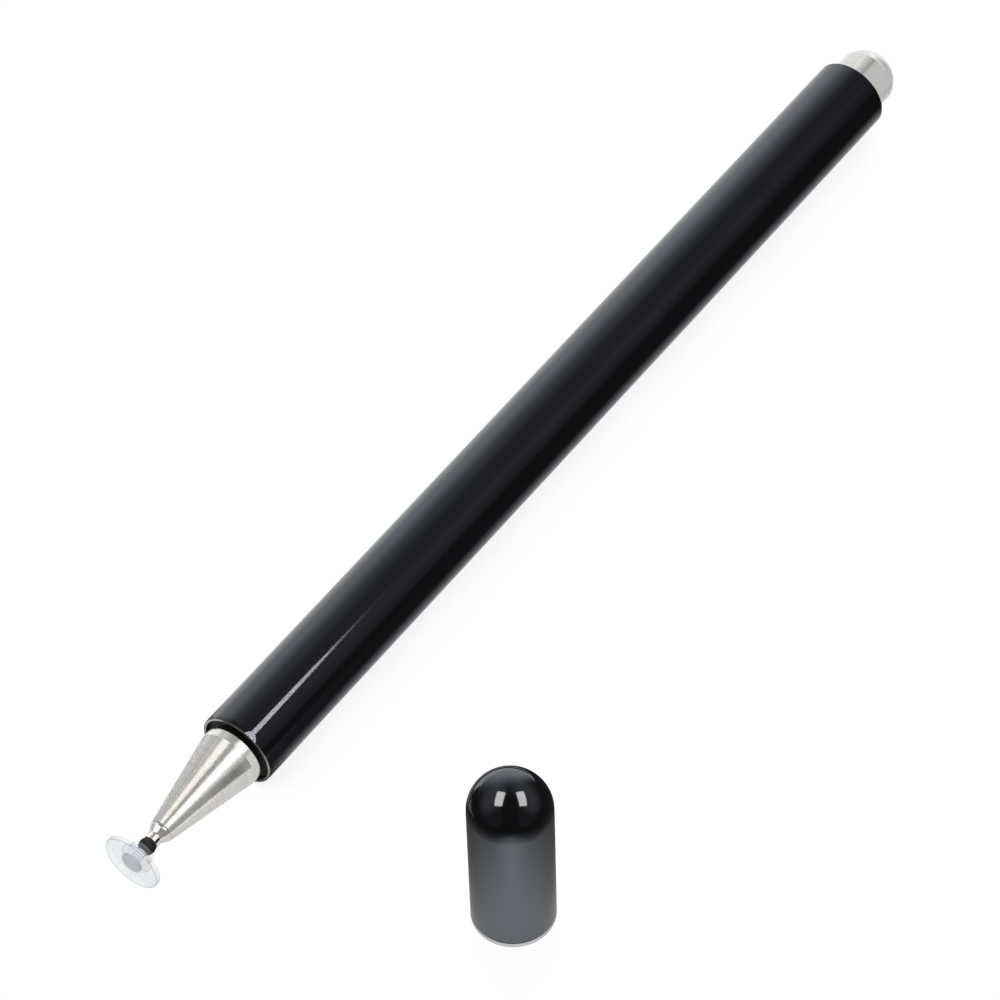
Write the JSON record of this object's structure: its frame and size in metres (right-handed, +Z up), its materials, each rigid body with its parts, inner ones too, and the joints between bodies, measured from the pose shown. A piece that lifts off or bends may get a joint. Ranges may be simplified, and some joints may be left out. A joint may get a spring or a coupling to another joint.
{
  "type": "stylus pen",
  "caption": "Slim lacquered stylus pen with a turned metal nose, a clear disc tip on a ball joint, a domed tail spigot and a round-ended cap standing beside it.",
  "frame": {"origin": "on the surface that pen and cap rest on, under the middle of the box round both", "axes": "+X along the pen from the disc tip to the tail, +Z up, the cap on the -Y side"},
  "size_m": [0.1416, 0.043, 0.0228],
  "materials": {
    "black_lacquer": "gloss black lacquer over metal, bare at the cut edge",
    "coated_magnet": "black coated magnet",
    "brass": "machined brass",
    "turned_silver": "satin turned silver metal",
    "polished_chrome": "polished metal",
    "black_conductive": "black conductive plastic",
    "clear_plastic": "clear moulded plastic",
    "grey_pad": "grey conductive rubber",
    "tail_silver": "plated steel, finely turned"
  },
  "bodies": {
    "pen": {"barrel": "black_lacquer", "front_magnet": "coated_magnet", "front_bush": "brass", "nose_cone": "turned_silver", "neck": "polished_chrome", "rear_bush": "brass", "tail_sleeve": "tail_silver", "tail_magnet": "coated_magnet", "tail_dome": "tail_silver"},
    "swivel": {"swivel_pin": "polished_chrome"},
    "tip": {"ball_socket": "black_conductive", "disc_hub": "clear_plastic", "disc_plate": "clear_plastic", "contact_pad": "grey_pad"},
    "cap": {"cap_shell": "black_lacquer", "cap_liner": "tail_silver"}
  },
  "joints": [
    {"name": "disc_turn", "type": "hinge", "parent": "pen", "child": "swivel", "pos_m": [-0.06803, 0.01705, 0.0045], "axis": [1, 0, 0], "continuous": true},
    {"name": "disc_tilt", "type": "hinge", "parent": "swivel", "child": "tip", "pos_m": [-0.06803, 0.01705, 0.0045], "axis": [0, 1, 0], "range_deg": [-25, 25]},
    {"name": "cap_lift", "type": "slide", "parent": "pen", "child": "cap", "axis": [0, 0, 1], "range_m": [0, 0.06]}
  ]
}
